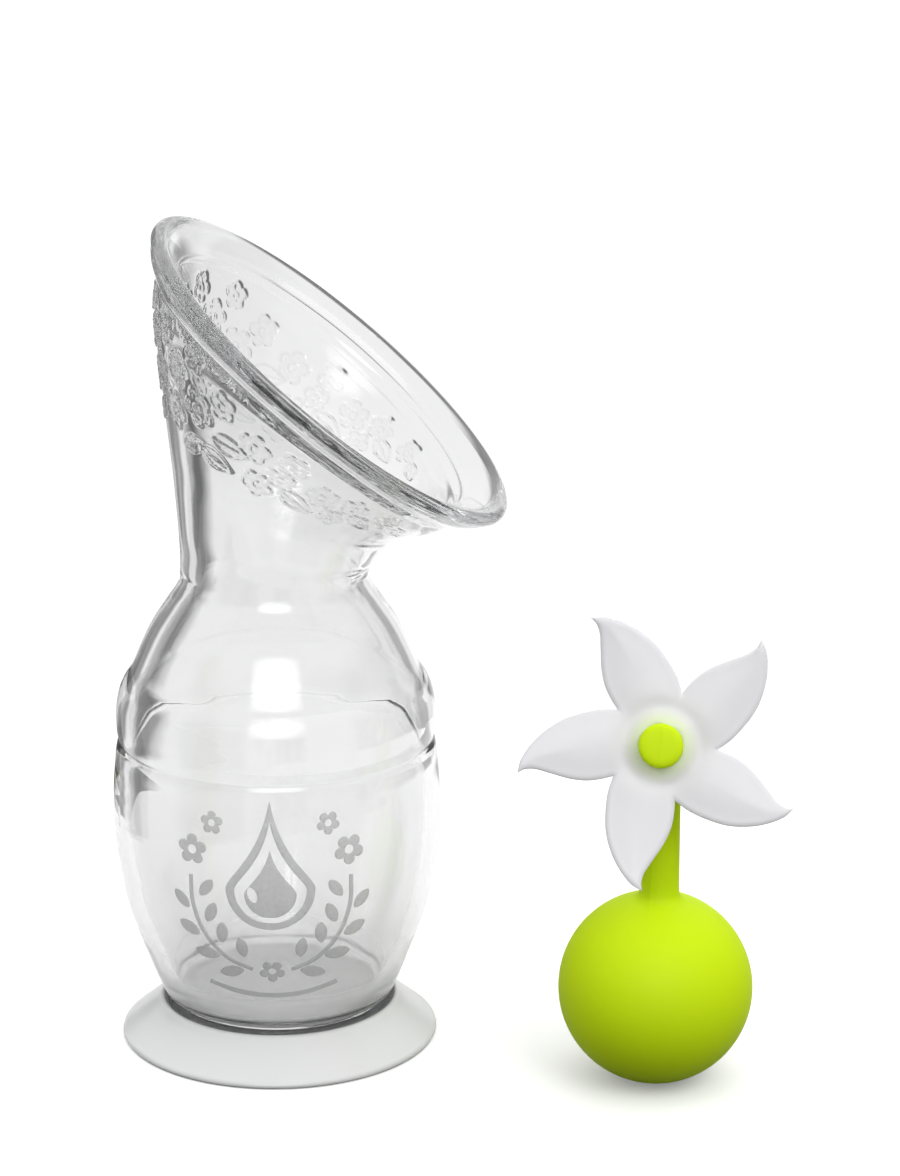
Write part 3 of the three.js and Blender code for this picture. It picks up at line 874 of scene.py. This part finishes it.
def studio_world():
    """White to the camera; to all other light a bright ceiling over a ring of panels and gaps."""
    world = bpy.data.worlds.new("studio")
    bpy.context.scene.world = world
    world.use_nodes = True
    nodes, links = world.node_tree.nodes, world.node_tree.links
    where = nodes.new("ShaderNodeTexCoord")
    split = nodes.new("ShaderNodeSeparateXYZ")
    links.new(where.outputs["Generated"], split.inputs["Vector"])
    azimuth = maths(nodes, links, "ARCTAN2", split.outputs["X"], split.outputs["Y"])
    turn = nodes.new("ShaderNodeMapRange")
    turn.inputs["From Min"].default_value = -math.pi
    turn.inputs["From Max"].default_value = math.pi
    links.new(azimuth, turn.inputs["Value"])
    ring = nodes.new("ShaderNodeValToRGB")
    stops = ring.color_ramp.elements
    stops[0].position, stops[1].position = 0.0, 1.0
    for place, _ in PANELS[1:-1]:
        stops.new(place / 360 + 0.5)
    for stop, (_, tone) in zip(stops, PANELS):
        stop.color = (tone, tone, tone, 1)
    links.new(turn.outputs["Result"], ring.inputs["Fac"])
    height = nodes.new("ShaderNodeMapRange")
    height.interpolation_type = "SMOOTHSTEP"
    height.inputs["From Min"].default_value = 0.30
    height.inputs["From Max"].default_value = 0.55
    links.new(split.outputs["Z"], height.inputs["Value"])
    ceiling = (1.25, 1.25, 1.25)
    sky = nodes["Background"]
    light = tinted(nodes, links, height.outputs["Result"], ring.outputs["Color"], ceiling)
    links.new(light, sky.inputs["Color"])
    sky.inputs["Strength"].default_value = 1.0
    plain = nodes.new("ShaderNodeBackground")
    plain.inputs["Strength"].default_value = 1.1
    plain.inputs["Color"].default_value = (1, 1, 1, 1)
    path = nodes.new("ShaderNodeLightPath")
    mix = nodes.new("ShaderNodeMixShader")
    links.new(path.outputs["Is Camera Ray"], mix.inputs["Fac"])
    links.new(sky.outputs["Background"], mix.inputs[1])
    links.new(plain.outputs["Background"], mix.inputs[2])
    links.new(mix.outputs["Shader"], nodes["World Output"].inputs["Surface"])


def soften_edges(light):
    """Let a softbox fade towards its edges, so that its reflection has no hard outline."""
    light.use_nodes = True
    nodes, links = light.node_tree.nodes, light.node_tree.links
    place = nodes.new("ShaderNodeNewGeometry")
    split = nodes.new("ShaderNodeSeparateXYZ")
    links.new(place.outputs["Parametric"], split.inputs["Vector"])
    sides = []
    for axis in ("X", "Y"):
        away = maths(nodes, links, "SUBTRACT", 1.0, split.outputs[axis])
        sides.append(maths(nodes, links, "MULTIPLY", split.outputs[axis], away))
    middle = maths(nodes, links, "MULTIPLY", *sides)
    glow = maths(nodes, links, "MINIMUM", maths(nodes, links, "MULTIPLY", middle, 18.0), 1.0)
    links.new(glow, nodes["Emission"].inputs["Strength"])


def softbox(name, place, aim, width, height, power, diffuse):
    """An area light that is seen by matt surfaces only, or by glossy and clear ones only."""
    light = bpy.data.lights.new(name, "AREA")
    light.shape = "RECTANGLE"
    light.size, light.size_y = width, height
    light.energy = power
    made = bpy.data.objects.new(name, light)
    bpy.context.scene.collection.objects.link(made)
    made.location = place
    made.rotation_euler = (Vector(aim) - Vector(place)).to_track_quat("-Z", "Y").to_euler()
    if not diffuse:
        soften_edges(light)
    made.visible_diffuse = diffuse
    made.visible_glossy = made.visible_transmission = not diffuse


# The photo's view, in metres and degrees: how far off and how high the camera stands, how far it has gone
# round from the front, and where it looks. The lens is in millimetres.
CAMERA_DISTANCE, CAMERA_HEIGHT, CAMERA_LENS = 0.75, 0.319, 124.65
CAMERA_ROUND, CAMERA_PITCH, CAMERA_TURN = 6.8, 16.92, 2.58


def camera():
    """The camera at the photo's angle."""
    data = bpy.data.cameras.new("camera")
    data.sensor_width = 36.0
    data.lens = CAMERA_LENS
    data.clip_start, data.clip_end = 0.05, 100
    made = bpy.data.objects.new("camera", data)
    bpy.context.scene.collection.objects.link(made)
    turn = math.radians(CAMERA_ROUND)
    aside, ahead = CAMERA_DISTANCE * math.sin(turn), -CAMERA_DISTANCE * math.cos(turn)
    made.location = (aside, ahead, CAMERA_HEIGHT)
    pitch, yaw = math.radians(CAMERA_PITCH), math.radians(CAMERA_TURN) - turn
    level = math.cos(pitch)
    forward = Vector((math.sin(yaw) * level, math.cos(yaw) * level, -math.sin(pitch)))
    made.rotation_mode = "QUATERNION"
    made.rotation_quaternion = forward.to_track_quat("-Z", "Y")
    bpy.context.scene.camera = made


BOUNCES = 40


def light_paths():
    """Enough bounces for light to find its way out of thick clear walls."""
    cycles = bpy.context.scene.cycles
    cycles.max_bounces = BOUNCES
    cycles.transmission_bounces = BOUNCES
    cycles.glossy_bounces = BOUNCES


bpy.context.scene.view_settings.view_transform = "Standard"
light_paths()
camera()
white_floor()
studio_world()
softbox("window", (0.18, -1.49, 0.87), (0, 0, 0.07), 1.30, 0.95, 31, False)
softbox("key", (0.90, -1.00, 1.30), (0.03, 0, 0.05), 0.9, 0.9, 7, True)

clear = clear_silicone()
for piece, body, finish in (
    (pump_body(clear), "pump", "clear_silicone"),
    (barrel_print(print_ink()), "pump", "clear_silicone"),
    (suction_base(milky_silicone()), "pump", "milky_silicone"),
    (stopper(lime_silicone()), "stopper", "lime_silicone"),
    (flower(white_silicone()), "flower", "white_silicone"),
):
    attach(piece, body)
